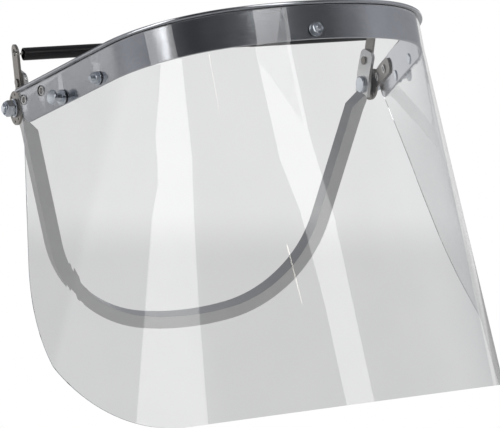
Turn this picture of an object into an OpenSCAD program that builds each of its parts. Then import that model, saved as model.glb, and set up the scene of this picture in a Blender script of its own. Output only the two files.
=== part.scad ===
// Face shield for a safety helmet. A clear visor hangs on a bent metal carrier band, and the band
// swings on a brim bow that grips the helmet's edge. A sleeved tension spring between two levers
// pulls the bow onto the helmet from behind.
//
// Millimetres, +Z up. The origin is midway between the two pivots, the pivot axis is X, and the
// wearer faces -Y. Each assembly is drawn level, as it is worn, and then turned about the pivot
// axis into the pose it rests in: bow hanging down, visor swung up.

/* [Carrier band] */
// Distance from the pivot axis forward to the band's outer face
band_depth = 147; // [140:1:155]
// Radius of the band's front
band_front_r = 146; // [140:1:155]
// Half-angle that the front radius covers
band_front_a = 16; // [12:1:20]
// Radius of the band's two corners
band_corner_r = 68; // [64:1:72]
// Angle by which each arm opens outward toward the rear
band_arm_a = 14.3; // [13.5:0.1:15]
// Length of each straight arm
band_arm_len = 83; // [80:1:86]
// Sheet thickness of the band
band_t = 1.3; // [1:0.1:1.5]
// Height of the band's top edge above the pivot axis
band_top = 6.7; // [6:0.1:8]
// Height of the band's bottom edge, below the pivot axis
band_bottom = -12.5; // [-14:0.1:-12]
// How far the top lip stands out from the band's face
lip_out = 3.2; // [2.5:0.1:4]
// Thickness of the top lip
lip_t = 1.5; // [1:0.1:2]
// Rounding of the lower corner at each arm's end
band_end_r = 6; // [3:0.5:8]

/* [Visor sheet] */
// Thickness of the clear sheet
sheet_t = 1; // [0.8:0.1:1.2]
// Air gap between the sheet and the band
sheet_gap = 0.1; // [0.08:0.01:0.15]
// Distance forward to the sheet's lower edge
flare_depth = 155.5; // [152:0.5:160]
// Radius of the lower edge's front
flare_front_r = 167.5; // [160:0.5:180]
// Half-angle of the lower edge's front radius
flare_front_a = 14.5; // [12:0.5:18]
// Radius of the lower edge's corners
flare_corner_r = 69; // [60:1:75]
// Angle by which the lower edge opens outward toward the rear
flare_arm_a = 31; // [28:0.1:35]
// Length of each straight part of the lower edge
flare_arm_len = 102; // [90:0.5:105]
// Height of the lower edge's plane below the pivot axis
sheet_drop = 181; // [160:0.1:200]
// Slope of the lower edge's plane, lower at the front
sheet_rake = 5; // [0:0.1:8]
// Rounding of the sheet's lower corners
sheet_corner_r = 94; // [60:1:110]

/* [Brim bow] */
// Distance forward to the inner face of the bow's inner wall
bow_depth = 129; // [125:1:131]
// Radius of the bow's front
bow_front_r = 150; // [145:1:155]
// Half-angle that the front radius covers
bow_front_a = 10; // [8:1:12]
// Radius of the bow's two corners
bow_corner_r = 66; // [64:1:68]
// Angle by which each arm opens outward toward the rear
bow_arm_a = 14; // [13.5:0.1:14.5]
// Sheet thickness of the bow
bow_t = 1.7; // [1.5:0.1:1.8]
// Width across the channel
bow_w = 7.3; // [7:0.1:7.6]
// Height of the channel's flat top above the pivot axis
bow_top = 4; // [3:0.1:5]
// Depth of the channel's two walls
bow_wall_h = 9; // [8:0.1:10]
// Distance in front of the pivot axis at which the channel ends
bow_stop = 12; // [11.5:0.1:12.5]

/* [Pivots] */
// Distance from the middle to the inner face of each bow end plate
plate_x = 102.2; // [102:0.1:102.3]
// Thickness of the bow end plates
plate_t = 1.8; // [1.6:0.1:1.9]
// Thickness of the spring levers
lever_t = 1.5; // [1.4:0.1:1.6]
// Thickness of the friction washers
friction_t = 0.8; // [0.7:0.1:0.9]
// Thickness of the hinge plates
hinge_t = 1.2; // [1.1:0.1:1.3]
// Thickness of the plain washers under the nuts
washer_t = 1; // [0.8:0.1:1.2]
// Shank radius of the pivot bolts
bolt_r = 2.5; // [2.4:0.05:2.6]
// Radial play of each hole on the pivot bolt
pivot_play = 0.05; // [0.03:0.01:0.08]
// End play on each side of the hinge plate
end_play = 0.1; // [0.08:0.01:0.15]
// Radius of the round eye of each hinge plate
hinge_r = 9.1; // [8.5:0.1:9.5]
// Width of the pivot nuts across their flats
nut_af = 8; // [7.8:0.1:8.2]
// Height of the pivot nuts
nut_h = 5; // [4.5:0.1:5.5]

/* [Levers and spring] */
// Angle by which the levers droop behind the pivots
lever_droop = 6; // [4:0.5:8]
// Distance from the pivot to the bend in lever and end plate
lever_bend = 6.5; // [6.5:0.1:8]
// Angle by which lever and end plate bend outward
lever_bend_a = 6; // [5:0.5:7]
// Distance from the pivot to the spring hole
lever_reach = 30; // [28:0.5:32]
// Width of the levers
lever_w = 8.5; // [8:0.1:9]
// Outer radius of the spring's sleeve
sleeve_r = 3.4; // [3.2:0.1:3.6]
// Half length of the spring's sleeve
sleeve_half = 103; // [98:0.5:103.5]
// Outer radius of the spring's coil
coil_r = 2.6; // [2.4:0.1:2.65]
// Radius of the spring's wire
wire_r = 0.6; // [0.5:0.05:0.7]
// How far the spring hangs below the lever holes on its hooks
spring_sag = 1.2; // [0:0.1:1.2]

/* [Fasteners] */
// Distances of the hinge rivets from the arm's end
rivet_at = [3, 20];
// Distance of the large stud from the arm's end
stud_at = 38.3; // [37:0.1:45]
// Distance of the side screw from the arm's end
screw_at = 71; // [60:0.5:76]
// Height of the studs and screws, below the pivot axis
fastener_z = -8; // [-8.2:0.1:-7.8]
// Shank radius of the visor screws
screw_r = 1.5; // [1.4:0.1:1.6]

/* [Pose] */
// Turn of the bow from level, hanging down behind the visor
bow_turn = 98; // [90:1:100]
// Turn of the visor from level, swung up
visor_turn = -24; // [-30:1:0]

/* [Hidden] */
eps = 0.01;
wide = 300;
band_plan = [band_depth, band_front_r, band_front_a, band_corner_r, band_arm_a, band_arm_len];
flare_plan = [flare_depth, flare_front_r, flare_front_a, flare_corner_r, flare_arm_a, flare_arm_len];
bow_arm_y = bow_front_r - bow_depth - (bow_front_r - bow_corner_r) * cos(bow_front_a)
    - bow_corner_r * sin(bow_arm_a);
bow_arm_len = (-bow_stop - bow_arm_y) / cos(bow_arm_a);
bow_plan = [bow_depth, bow_front_r, bow_front_a, bow_corner_r, bow_arm_a, bow_arm_len];

// stack along each pivot, from the bow outward
lever_x = plate_x + plate_t;
friction_x = lever_x + lever_t;
hinge_x = friction_x + friction_t + end_play;
washer_x = hinge_x + hinge_t + end_play;
nut_x = washer_x + washer_t;
bolt_tip_x = nut_x + nut_h + 1;
bolt_head_r = 4.75;
bolt_head_t = 1.8;
pivot_hole_r = bolt_r + pivot_play;

// hinge plate
tab_from_end = 31;
tab_top = 4.5;
tab_bottom = -4.3;
peep_r = 0.65;
peep_ring_r = 7.2;
peeps = 8;

// hollow rivets
rivet_z = 0.3;
rivet_head_r = 2.5;
rivet_head_t = 0.7;
rivet_shank_r = 1.9;
rivet_bore_r = 1.4;
rivet_window_r = 2.8;

// studs, screws and their washers, measured out from the band's face
clamp_x = sheet_gap + sheet_t;
stud_shank_r = 2;
stud_collar_r = 4;
stud_collar_t = 1;
stud_neck_r = 2.2;
stud_z = fastener_z - 0.6;
stud_reach = 6.6;
stud_head_r = 3.9;
stud_head_t = 1.5;
inner_head_r = 3;
inner_head_t = 0.6;
visor_washer_r = 3.5;
visor_washer_t = 0.5;
screw_nut_af = 5.5;
screw_nut_h = 2.4;
screw_reach = 6;
sheet_hole_r = 2.4;

// spring parts
lever_eye_r = 5.5;
lever_bend_y = lever_bend - plate_t * tan(lever_bend_a / 2);
lever_mid_x = lever_x + lever_t / 2 + (lever_reach - lever_bend_y) * tan(lever_bend_a);
lever_hole_r = 1.8;
lever_rivet_at = 13.6;
lever_rivet_r = 2.3;
lever_rivet_hole_r = 1.5;
lever_rivet_cap = 0.8;
sleeve_bore_r = 2.8;
hook_r = 3.1;
hook_shift = 2.5;
coil_half = sleeve_half - 4;

// ---- plans: a U made of a front arc, two corner arcs and two straight arms ----

// Centre of the +X corner arc
function corner_centre(plan) =
    let (inset = plan[1] - plan[3])
    [inset * sin(plan[2]), plan[1] - plan[0] - inset * cos(plan[2])];

// Rear end of the +X arm
function arm_end(plan) =
    corner_centre(plan) + plan[3] * [cos(plan[4]), -sin(plan[4])]
    + plan[5] * [sin(plan[4]), cos(plan[4])];

function front_len(plan) = plan[1] * plan[2] * PI / 180;
function corner_len(plan) = plan[3] * (90 - plan[2] - plan[4]) * PI / 180;
function half_len(plan) = front_len(plan) + corner_len(plan) + plan[5];

// Direction of the outward normal at distance t along the +X half, from -Y toward +X
function normal_angle(plan, t) =
    t <= front_len(plan) ? t / plan[1] * 180 / PI
    : t <= front_len(plan) + corner_len(plan)
        ? plan[2] + (t - front_len(plan)) / plan[3] * 180 / PI
    : 90 - plan[4];

// Point at distance s along the U from its front, s > 0 on the +X side, moved outward by off
function u_point(plan, s, off = 0) =
    let (
        t = abs(s),
        side = s < 0 ? -1 : 1,
        n = normal_angle(plan, t),
        out = [sin(n), -cos(n)],
        over = t - front_len(plan) - corner_len(plan),
        p = t <= front_len(plan) ? [0, plan[1] - plan[0]] + plan[1] * out
            : over <= 0 ? corner_centre(plan) + plan[3] * out
            : arm_end(plan) + (over - plan[5]) * [sin(plan[4]), cos(plan[4])],
        q = p + off * out
    )
    [side * q[0], q[1]];

// How far from the front a U has turned by the angle a
function at_angle(plan, a) =
    a <= plan[2] ? plan[1] * a * PI / 180 : front_len(plan) + plan[3] * (a - plan[2]) * PI / 180;

// Distances from the front, on the +X half, of the corners of a U drawn with short straight cells
function arc_stations(plan, front_cells, corner_cells) = concat(
    [for (k = [0 : front_cells]) (k + 0.5) * front_len(plan) / (front_cells + 0.5)],
    [for (k = [1 : corner_cells]) front_len(plan) + k * corner_len(plan) / corner_cells]
);

// The same distances on both halves, from the -X end to the +X end
function both_ways(half) = concat(backward(-1 * half), half);
function backward(list) = [for (k = [len(list) - 1 : -1 : 0]) list[k]];

// The +X half of a line at distance off along the whole U
function u_side(plan, half, off) = [for (s = half) u_point(plan, s, off)];

// An upright wall between an outer and an inner line, both given by their +X halves
module u_wall(outer, inner, z0, z1) {
    translate([0, 0, z0]) linear_extrude(z1 - z0)
        polygon(concat(mirrored(outer), outer, backward(inner), backward(mirrored(inner))));
}
function mirrored(half) = backward([for (p = half) [-p[0], p[1]]]);

// ---- placing ----

module bracket_pose() rotate([bow_turn, 0, 0]) children();
module visor_pose() rotate([visor_turn, 0, 0]) children();
module left_side() children();
module right_side() mirror([1, 0, 0]) children();

// On the left arm, at distance s from its end and height z; local +X points outward
module on_arm(s, z) {
    translate(concat(arm_end(band_plan), 0))
        rotate([0, 0, -band_arm_a])
            translate([0, -s, z]) children();
}

// Where the side screw sits on the left arm
module at_side_screw() on_arm(screw_at, fastener_z) children();

// On the band's face at the middle of its front; local +X points forward
module on_front(z) translate([0, u_point(band_plan, band_arcs[0])[1], z]) rotate([0, 0, -90]) children();

// A round bar along X from x0 to x1
module bar(r, x0, x1) translate([x0, 0, 0]) rotate([0, 90, 0]) cylinder(r = r, h = x1 - x0, $fn = 48);

// A hexagon along X, flats facing up and down
module hex_bar(af, x0, x1) {
    translate([x0, 0, 0]) rotate([0, 90, 0]) cylinder(d = af / cos(30), h = x1 - x0, $fn = 6);
}

// An outline drawn in Y and Z, extruded along X from x0 to x1
module side_prism(x0, x1) {
    translate([x0, 0, 0]) rotate([90, 0, 90]) linear_extrude(x1 - x0) children();
}

// ---- band, hinge plates and sheet ----

// x of a line parallel to the left arm, at distance off from the band's face
function arm_x(off, y) =
    let (e = arm_end(band_plan)) e[0] + off / cos(band_arm_a) + (y - e[1]) * tan(band_arm_a);
function arm_y(off, x) =
    let (e = arm_end(band_plan)) e[1] + (x - e[0] - off / cos(band_arm_a)) / tan(band_arm_a);

band_arcs = arc_stations(band_plan, 5, 17);
function band_side(off) = u_side(band_plan, concat(band_arcs, [half_len(band_plan)]), off);

module carrier_band() {
    color("slategray") visor_pose() difference() {
        union() {
            u_wall(band_side(0), band_side(-band_t), band_bottom, band_top);
            u_wall(band_side(lip_out), band_side(-band_t / 2), band_top - lip_t, band_top);
        }
        for (side = [0, 1]) mirror([side, 0, 0]) {
            on_arm(band_end_r, band_bottom + band_end_r) difference() {
                translate([-3, 0, -2 * band_end_r]) cube([6, 2 * band_end_r, 2 * band_end_r]);
                bar(band_end_r, -4, 4);
            }
            for (s = rivet_at) on_arm(s, rivet_z) bar(rivet_shank_r, -3, 3);
            on_arm(stud_at, stud_z) bar(stud_shank_r, -3, 3);
            on_arm(screw_at, fastener_z) bar(screw_r, -3, 3);
        }
        on_front(fastener_z) bar(screw_r, -3, 3);
    }
}

module hinge_plate() {
    tab_y = arm_end(band_plan)[1] - tab_from_end * cos(band_arm_a);
    outer = -band_t;
    inner = -band_t - hinge_t;
    end_r = (tab_top - tab_bottom) / 2;
    mid_z = (tab_top + tab_bottom) / 2;
    difference() {
        intersection() {
            translate([0, 0, -hinge_r - 1]) linear_extrude(2 * hinge_r + 2) polygon([
                [hinge_x, hinge_r + 1], [hinge_x + hinge_t, hinge_r + 1],
                [hinge_x + hinge_t, arm_y(outer, hinge_x + hinge_t)],
                [arm_x(outer, tab_y - 1), tab_y - 1], [arm_x(inner, tab_y - 1), tab_y - 1],
                [hinge_x, arm_y(inner, hinge_x)]
            ]);
            side_prism(hinge_x - 15, hinge_x + 3) union() {
                circle(r = hinge_r, $fn = 96);
                polygon([
                    [-hinge_r * sin(30), hinge_r * cos(30)], [-1.6 * hinge_r, tab_top],
                    [tab_y + end_r, tab_top], [tab_y + end_r, tab_bottom], [0, tab_bottom], [0, 0]
                ]);
                translate([tab_y + end_r, mid_z]) circle(r = end_r, $fn = 48);
            }
        }
        bar(pivot_hole_r, hinge_x - 1, hinge_x + hinge_t + 1);
        for (i = [0 : peeps - 1]) rotate([(i + 0.5) * 360 / peeps, 0, 0])
            translate([0, 0, peep_ring_r]) bar(peep_r, hinge_x - 1, hinge_x + hinge_t + 1);
        for (s = rivet_at) on_arm(s, rivet_z) bar(rivet_shank_r, -5, 3);
    }
}

module right_hinge_plate() color("dimgray") visor_pose() right_side() hinge_plate();
module left_hinge_plate() color("dimgray") visor_pose() left_side() hinge_plate();

// Distances from the arm's end at which the sheet's columns stand, close together at the rear edge
round_cells = 12;
round_rear = [for (k = [0 : round_cells]) sheet_corner_r * (1 - cos(90 * k / round_cells))];
arm_stations = [
    for (r = backward(round_rear)) if (r < band_arm_len - 2) half_len(band_plan) - r
];
stations = both_ways(concat(band_arcs, arm_stations));

// Height of the sheet's top edge, under the lip, and of the line where it leaves the band
sheet_top = band_top - lip_t - sheet_gap;
hold_z = band_bottom;

// Straight lines of the bent sheet on the +X half: [distance on the band, distance on the lower edge].
// The sheet doesn't stretch, so both ends of a line face the same way. Where the lower edge has turned as
// far as its arm, the lines fan out along that arm, and then from its end back along the band.
sheet_turn = 90 - flare_arm_a;
fan_top = at_angle(band_plan, sheet_turn);
fan_low = at_angle(flare_plan, sheet_turn);
sheet_lines = concat(
    [for (a = [0 : sheet_turn / 40 : sheet_turn]) [at_angle(band_plan, a), at_angle(flare_plan, a)]],
    [for (k = [1 : 6]) [fan_top, fan_low + (half_len(flare_plan) - fan_low) * k / 6]],
    [for (k = [1 : 16]) [fan_top + (half_len(band_plan) - fan_top) * k / 16, half_len(flare_plan)]]
);

// How much of the fall a column makes before it meets the rounded lower corner
function fall_share(s) =
    let (
        rear = half_len(band_plan) - abs(s),
        r = sheet_corner_r,
        cut = rear >= r ? 0 : r - sqrt(max(0, r * r - (r - rear) * (r - rear)))
    )
    1 - cut / (sheet_drop + band_bottom);

// Where the sheet's lines are at the share w of the fall, off from the band's face
function level_line(w, off) = [
    for (line = sheet_lines)
        let (
            top = u_point(band_plan, line[0], off),
            low = u_point(flare_plan, line[1], off),
            low_z = -sheet_drop + low[1] * tan(sheet_rake)
        )
        concat(top + w * (low - top), hold_z + w * (low_z - hold_z))
];

// Distance run along a list of points, seen from above, up to each point
function runs(points) = [
    for (i = 0, run = 0; i < len(points); run = run + step_after(points, i), i = i + 1) run
];
function step_after(points, i) =
    i + 1 == len(points) ? 0 : norm([points[i + 1][0] - points[i][0], points[i + 1][1] - points[i][1]]);
function column_of(points, run, k) = [for (i = [0 : len(points) - 1]) [run[i], points[i][k]]];

// A point of the sheet: s along the band, w the share of the fall, off from the band's face
function sheet_point(s, w, off) =
    let (
        t = abs(s),
        turned = off * normal_angle(band_plan, t) * PI / 180,
        whole = half_len(band_plan) + off * (90 - band_arm_a) * PI / 180,
        points = level_line(w, off),
        run = runs(points),
        at = (t + turned) / whole * run[len(run) - 1]
    )
    [
        (s < 0 ? -1 : 1) * lookup(at, column_of(points, run, 0)),
        lookup(at, column_of(points, run, 1)),
        lookup(at, column_of(points, run, 2))
    ];

// Rows down a column: top edge and line where it leaves the band, then even steps
even_rows = 7;
function column(s, off) =
    let (share = fall_share(s), top = u_point(band_plan, s, off))
    concat(
        [concat(top, sheet_top), concat(top, hold_z)],
        [for (k = [1 : even_rows]) sheet_point(s, share * k / even_rows, off)]
    );

module sheet_solid() {
    rows = 2 + even_rows;
    cols = len(stations);
    inner = [for (s = stations) each column(s, sheet_gap)];
    outer = [for (s = stations) each column(s, sheet_gap + sheet_t)];
    n = rows * cols;
    skin = [
        for (i = [0 : cols - 2], j = [0 : rows - 2])
            let (a = i * rows + j, b = a + rows) [a, b, b + 1, a + 1]
    ];
    rim = concat(
        [for (i = [0 : cols - 2]) [i * rows, (i + 1) * rows]],
        [for (j = [0 : rows - 2]) [(cols - 1) * rows + j, (cols - 1) * rows + j + 1]],
        [for (i = [cols - 1 : -1 : 1]) [i * rows + rows - 1, i * rows - 1]],
        [for (j = [rows - 1 : -1 : 1]) [j, j - 1]]
    );
    faces = concat(
        [for (q = skin) each [[q[0], q[1], q[2]], [q[0], q[2], q[3]]]],
        [for (q = skin) each [[q[2] + n, q[1] + n, q[0] + n], [q[3] + n, q[2] + n, q[0] + n]]],
        [for (e = rim) each [[e[1], e[0], e[0] + n], [e[1], e[0] + n, e[1] + n]]]
    );
    polyhedron(concat(inner, outer), faces);
}

module visor_sheet() {
    color("lightblue", 0.35) visor_pose() difference() {
        sheet_solid();
        for (side = [0, 1]) mirror([side, 0, 0]) {
            for (s = rivet_at) on_arm(s, rivet_z) bar(rivet_window_r, -1, 3);
            on_arm(stud_at, stud_z) bar(sheet_hole_r, -1, 3);
            on_arm(screw_at, fastener_z) bar(sheet_hole_r, -1, 3);
        }
        on_front(fastener_z) bar(sheet_hole_r, -1, 3);
    }
}

// ---- fasteners of the visor ----

module hollow_rivet() {
    back = -band_t - hinge_t;
    difference() {
        union() {
            bar(rivet_shank_r, back, 0);
            bar(rivet_head_r, 0, rivet_head_t);
            bar(rivet_head_r, back - rivet_head_t, back);
        }
        bar(rivet_bore_r, back - 2, 2);
    }
}

module hinge_rivets() for (s = rivet_at) on_arm(s, rivet_z) hollow_rivet();
module right_hinge_rivets() color("gainsboro") visor_pose() right_side() hinge_rivets();
module left_hinge_rivets() color("gainsboro") visor_pose() left_side() hinge_rivets();

module stud() {
    on_arm(stud_at, stud_z) {
        bar(inner_head_r, -band_t - inner_head_t, -band_t);
        bar(stud_shank_r, -band_t - eps, clamp_x + eps);
        bar(stud_collar_r, clamp_x, clamp_x + stud_collar_t);
        bar(stud_neck_r, clamp_x, stud_reach);
        bar(stud_head_r, stud_reach, stud_reach + stud_head_t);
    }
}

module right_stud() color("silver") visor_pose() right_side() stud();
module left_stud() color("silver") visor_pose() left_side() stud();

// A screw put in from inside the band, its end standing out in front of the nut
module visor_screw() {
    difference() {
        union() {
            bar(inner_head_r, -band_t - inner_head_t, -band_t);
            bar(screw_r, -band_t - eps, screw_reach);
        }
        translate([-band_t - inner_head_t - 0.1, -4, -0.35]) cube([0.4, 8, 0.7]);
    }
}

module visor_nut() {
    base = clamp_x + visor_washer_t;
    difference() {
        hex_bar(screw_nut_af, base, base + screw_nut_h);
        bar(screw_r, base - 1, base + screw_nut_h + 1);
    }
}

module visor_washer() {
    difference() {
        bar(visor_washer_r, clamp_x, clamp_x + visor_washer_t);
        bar(screw_r, clamp_x - 1, clamp_x + 2);
    }
}

module right_visor_screw() color("silver") visor_pose() right_side() at_side_screw() visor_screw();
module left_visor_screw() color("silver") visor_pose() left_side() at_side_screw() visor_screw();
module front_visor_screw() color("silver") visor_pose() on_front(fastener_z) visor_screw();
module right_visor_nut() color("silver") visor_pose() right_side() at_side_screw() visor_nut();
module left_visor_nut() color("silver") visor_pose() left_side() at_side_screw() visor_nut();
module front_visor_nut() color("silver") visor_pose() on_front(fastener_z) visor_nut();
module right_visor_washer() color("silver") visor_pose() right_side() at_side_screw() visor_washer();
module left_visor_washer() color("silver") visor_pose() left_side() at_side_screw() visor_washer();
module front_visor_washer() color("silver") visor_pose() on_front(fastener_z) visor_washer();

// ---- bow, levers and spring ----

// A flat strip seen from above: straight, then bent outward, its inner face from y = bend on
module bent_strip(x0, t, bend, y0, y1) {
    lean = tan(lever_bend_a);
    polygon([
        [x0, y0], [x0 + t, y0], [x0 + t, bend - t * tan(lever_bend_a / 2)],
        [x0 + t / cos(lever_bend_a) + (y1 - bend) * lean, y1],
        [x0 + (y1 - bend) * lean, y1], [x0, bend]
    ]);
}

plate_rear = 20;
plate_low = -7;
plate_high = 7;
plate_corner_r = 4;

// Side outline of a bow end plate, its rear corners rounded
module plate_outline() {
    difference() {
        polygon([
            [-bow_stop, bow_top - bow_wall_h], [-9, bow_top - bow_wall_h], [-6, plate_low],
            [plate_rear, plate_low], [plate_rear, plate_high], [-6, plate_high],
            [-9, bow_top], [-bow_stop, bow_top]
        ]);
        for (c = [[plate_low, -1], [plate_high, 1]])
            translate([plate_rear - plate_corner_r, c[0] - c[1] * plate_corner_r]) difference() {
                translate([0, c[1] < 0 ? -2 * plate_corner_r : 0]) square(2 * plate_corner_r);
                circle(r = plate_corner_r, $fn = 48);
            }
    }
}

bow_arcs = arc_stations(bow_plan, 5, 18);
bow_stations = concat(bow_arcs, [half_len(bow_plan)]);
bow_end = arm_end(bow_plan);
// where both walls have come out to the end plate
jog_y = plate_x - bow_end[0] - bow_stop;
plate_out = plate_x + plate_t;
// the walls end a little inside the plate's two faces
inset = 0.15;

// Bent channel: a solid bar that runs out to the end plates, with a slot up its underside
module bow_channel() {
    low = bow_top - bow_wall_h;
    slot_end = [plate_x - 0.6, jog_y - 3];
    difference() {
        u_wall(
            concat(u_side(bow_plan, bow_stations, bow_w), [
                [plate_out - inset, jog_y - 3.7], [plate_out - inset, jog_y]
            ]),
            concat(u_side(bow_plan, bow_stations, 0), [[plate_x + inset, jog_y]]),
            low, bow_top
        );
        u_wall(
            concat(u_side(bow_plan, bow_stations, bow_w - bow_t), [slot_end]),
            concat(u_side(bow_plan, bow_arcs, bow_t), [bow_end + [1.5, -0.9], slot_end - [0.2, 0.1]]),
            low - 1, bow_top - bow_t
        );
    }
}

// End plate, bent outward behind the pivot along with the lever
module bow_plate() {
    intersection() {
        rotate([-lever_droop, 0, 0]) translate([0, 0, -30]) linear_extrude(60)
            bent_strip(plate_x, plate_t, lever_bend, -30, 30);
        side_prism(plate_x - 5, plate_x + 8) intersection() {
            plate_outline();
            translate([jog_y - 1, -20]) square([40, 40]);
        }
    }
}

module brim_bow() {
    color("silver") bracket_pose() difference() {
        union() {
            bow_channel();
            bow_plate();
            mirror([1, 0, 0]) bow_plate();
        }
        bar(pivot_hole_r, -wide, wide);
        for (side = [0, 1]) mirror([side, 0, 0]) lever_rivet_place() bar(lever_rivet_hole_r, -6, 6);
    }
}

// Middle of the lever's inner face at the lever rivet; local +X is that face's normal
module lever_rivet_place() {
    rotate([-lever_droop, 0, 0])
        translate([lever_x + (lever_rivet_at - lever_bend_y) * tan(lever_bend_a), lever_rivet_at, 0])
            rotate([0, 0, -lever_bend_a]) children();
}

module lever() {
    difference() {
        rotate([-lever_droop, 0, 0]) intersection() {
            translate([0, 0, -10]) linear_extrude(20)
                bent_strip(lever_x, lever_t, lever_bend_y, -10, 40);
            side_prism(lever_x - 2, lever_x + 9) union() {
                circle(r = lever_eye_r, $fn = 64);
                translate([0, -lever_w / 2]) square([lever_reach, lever_w]);
                translate([lever_reach, 0]) circle(r = lever_w / 2, $fn = 64);
            }
        }
        bar(pivot_hole_r, lever_x - 1, lever_x + lever_t + 1);
        lever_rivet_place() bar(lever_rivet_hole_r, -6, 6);
        rotate([-lever_droop, 0, 0]) translate([lever_mid_x, lever_reach, 0])
            rotate([0, 0, -lever_bend_a]) bar(lever_hole_r, -4, 4);
    }
}

module right_lever() color("gray") bracket_pose() right_side() lever();
module left_lever() color("gray") bracket_pose() left_side() lever();

module lever_rivet() {
    lever_rivet_place() {
        bar(lever_rivet_r, -plate_t - lever_rivet_cap, -plate_t);
        bar(lever_rivet_hole_r, -plate_t - eps, lever_t + eps);
        bar(lever_rivet_r, lever_t, lever_t + lever_rivet_cap);
    }
}

module right_lever_rivet() color("gray") bracket_pose() right_side() lever_rivet();
module left_lever_rivet() color("gray") bracket_pose() left_side() lever_rivet();

// The spring's own place; its lever holes are spring_sag above its middle
module spring_place() {
    rotate([-lever_droop, 0, 0]) translate([0, lever_reach - spring_sag, 0]) children();
}

module spring_sleeve() {
    color("black") bracket_pose() spring_place() difference() {
        bar(sleeve_r, -sleeve_half, sleeve_half);
        bar(sleeve_bore_r, -sleeve_half - 1, sleeve_half + 1);
    }
}

// A straight round rod from p to q
module rod(p, q, r) {
    v = q - p;
    translate(p) rotate([0, acos(v[2] / norm(v)), atan2(v[1], v[0])])
        cylinder(r = r, h = norm(v), $fn = 24);
}

// Hook: out of the coil, round the lever's front edge and back in through its hole
module spring_hook() {
    middle = [lever_mid_x, spring_sag, hook_shift];
    start_a = 185;
    turn = 290;
    start = middle + hook_r * [cos(start_a), 0, sin(start_a)];
    root = [coil_half - 1, 0, 0];
    run = start - root;
    translate(middle) rotate([90, 0, 0]) rotate([0, 0, start_a - turn])
        rotate_extrude(angle = turn, $fn = 64) translate([hook_r, 0]) circle(r = wire_r, $fn = 24);
    rod(root, start + run / norm(run) * wire_r / 2, wire_r);
    bar(coil_r - 0.2, coil_half - 2, coil_half);
}

module tension_spring() {
    color("darkgray") bracket_pose() spring_place() {
        difference() {
            bar(coil_r, -coil_half, coil_half);
            bar(coil_r - 2 * wire_r, -coil_half + 2, coil_half - 2);
        }
        spring_hook();
        mirror([1, 0, 0]) spring_hook();
    }
}

// ---- pivot hardware ----

module pivot_bolt() {
    bar(bolt_head_r, plate_x - bolt_head_t, plate_x);
    bar(bolt_r, plate_x - eps, bolt_tip_x);
}

module ring(r_out, r_in, x0, t) {
    difference() {
        bar(r_out, x0, x0 + t);
        bar(r_in, x0 - 1, x0 + t + 1);
    }
}

insert_t = 1.4;
insert_r = 3.3;

module pivot_nut() {
    difference() {
        union() {
            hex_bar(nut_af, nut_x, nut_x + nut_h - 1);
            bar(nut_af / 2 - 0.2, nut_x, nut_x + nut_h);
        }
        bar(bolt_r, nut_x - 1, nut_x + nut_h + 1);
        bar(insert_r, nut_x + nut_h - 0.3 - insert_t, nut_x + nut_h + 1);
    }
}

module nut_insert() ring(insert_r, bolt_r, nut_x + nut_h - 0.3 - insert_t, insert_t);
module pivot_washer() ring(5, pivot_hole_r, washer_x, washer_t);
module friction_washer() ring(5, pivot_hole_r, friction_x, friction_t);

module right_pivot_bolt() color("silver") bracket_pose() right_side() pivot_bolt();
module left_pivot_bolt() color("silver") bracket_pose() left_side() pivot_bolt();
module right_pivot_nut() color("silver") bracket_pose() right_side() pivot_nut();
module left_pivot_nut() color("silver") bracket_pose() left_side() pivot_nut();
module right_nut_insert() color("steelblue") bracket_pose() right_side() nut_insert();
module left_nut_insert() color("steelblue") bracket_pose() left_side() nut_insert();
module right_pivot_washer() color("silver") bracket_pose() right_side() pivot_washer();
module left_pivot_washer() color("silver") bracket_pose() left_side() pivot_washer();
module right_friction_washer() color("dimgray") bracket_pose() right_side() friction_washer();
module left_friction_washer() color("dimgray") bracket_pose() left_side() friction_washer();

brim_bow();
right_lever();
left_lever();
right_lever_rivet();
left_lever_rivet();
right_pivot_bolt();
left_pivot_bolt();
right_pivot_nut();
left_pivot_nut();
right_nut_insert();
left_nut_insert();
right_pivot_washer();
left_pivot_washer();
right_friction_washer();
left_friction_washer();
spring_sleeve();
tension_spring();
visor_sheet();
carrier_band();
right_hinge_plate();
left_hinge_plate();
right_hinge_rivets();
left_hinge_rivets();
right_stud();
left_stud();
right_visor_screw();
left_visor_screw();
front_visor_screw();
right_visor_nut();
left_visor_nut();
front_visor_nut();
right_visor_washer();
left_visor_washer();
front_visor_washer();
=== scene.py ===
"""Face shield: fine meshes, materials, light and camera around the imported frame. Metres, +Z up.

Lengths that describe the object are in millimetres, like the design they repeat, and MM turns them
into metres. Each assembly is drawn level, as it is worn, and then turned about the X axis, through
the two pivots, into the pose it rests in.
"""
import bisect
import math

import bmesh
import bpy
from mathutils import Matrix, Vector


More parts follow.
